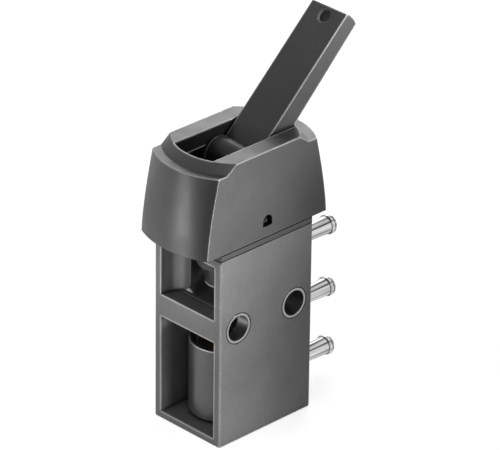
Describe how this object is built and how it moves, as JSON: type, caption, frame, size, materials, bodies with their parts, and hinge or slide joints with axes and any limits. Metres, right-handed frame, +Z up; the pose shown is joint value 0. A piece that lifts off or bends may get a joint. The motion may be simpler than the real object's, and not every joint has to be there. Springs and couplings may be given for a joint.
{
  "type": "toggle_lever_valve",
  "caption": "Small three-port toggle lever valve with a friction-held lever, an open-front housing, a clip-on cap and barbed hose fittings at the back.",
  "frame": {"origin": "middle of the housing's underside", "axes": "+Z up, -Y the open front with the two windows, +Y the side of the hose fittings, X along the lever's pin"},
  "size_m": [0.018, 0.0448, 0.0778],
  "materials": {
    "housing_metal": "satin",
    "cap_plastic": "matte",
    "lever_plastic": "matte",
    "white_plastic": "matte",
    "steel": "satin",
    "cartridge_metal": "satin",
    "brass": "satin",
    "rubber": "matte",
    "bright_plating": "gloss"
  },
  "bodies": {
    "valve_body": {"housing": "housing_metal", "front_mounting_bushes": "steel", "rear_mounting_sleeve": "steel", "bearing_block": "housing_metal", "block_screws": "steel", "cap": "cap_plastic", "pivot_pin": "steel", "pivot_washers": "white_plastic", "cartridge_body": "cartridge_metal", "cartridge_screw": "steel", "valve_seat": "brass", "stem_guide": "brass", "stem_seal": "rubber", "retaining_ring": "steel", "port_seals": "rubber", "supply_fitting": "bright_plating", "outlet_fitting": "bright_plating", "exhaust_fitting": "bright_plating", "fitting_seals": "rubber", "plunger_spring": "steel", "poppet_spring": "steel"},
    "lever": {"toggle_lever": "lever_plastic"},
    "tappet": {"plunger": "white_plastic", "valve_stem": "steel"},
    "valve_disc": {"poppet": "steel", "poppet_seal": "rubber"}
  },
  "joints": [
    {"name": "lever_hinge", "type": "hinge", "parent": "valve_body", "child": "lever", "pos_m": [0, 0, 0.0539], "axis": [1, 0, 0], "range_deg": [0, 92]},
    {"name": "tappet_slide", "type": "slide", "parent": "valve_body", "child": "tappet", "axis": [0, 0, -1], "range_m": [0, 0.0012], "deforming": ["plunger_spring"]},
    {"name": "poppet_slide", "type": "slide", "parent": "valve_body", "child": "valve_disc", "axis": [0, 0, -1], "range_m": [0, 0.0009], "deforming": ["poppet_spring"]}
  ],
  "couplings": [
    {"joint": "lever_hinge", "follows": "tappet_slide", "rad_per_m": 1333.3},
    {"joint": "poppet_slide", "follows": "tappet_slide", "ratio": 0.74667}
  ]
}
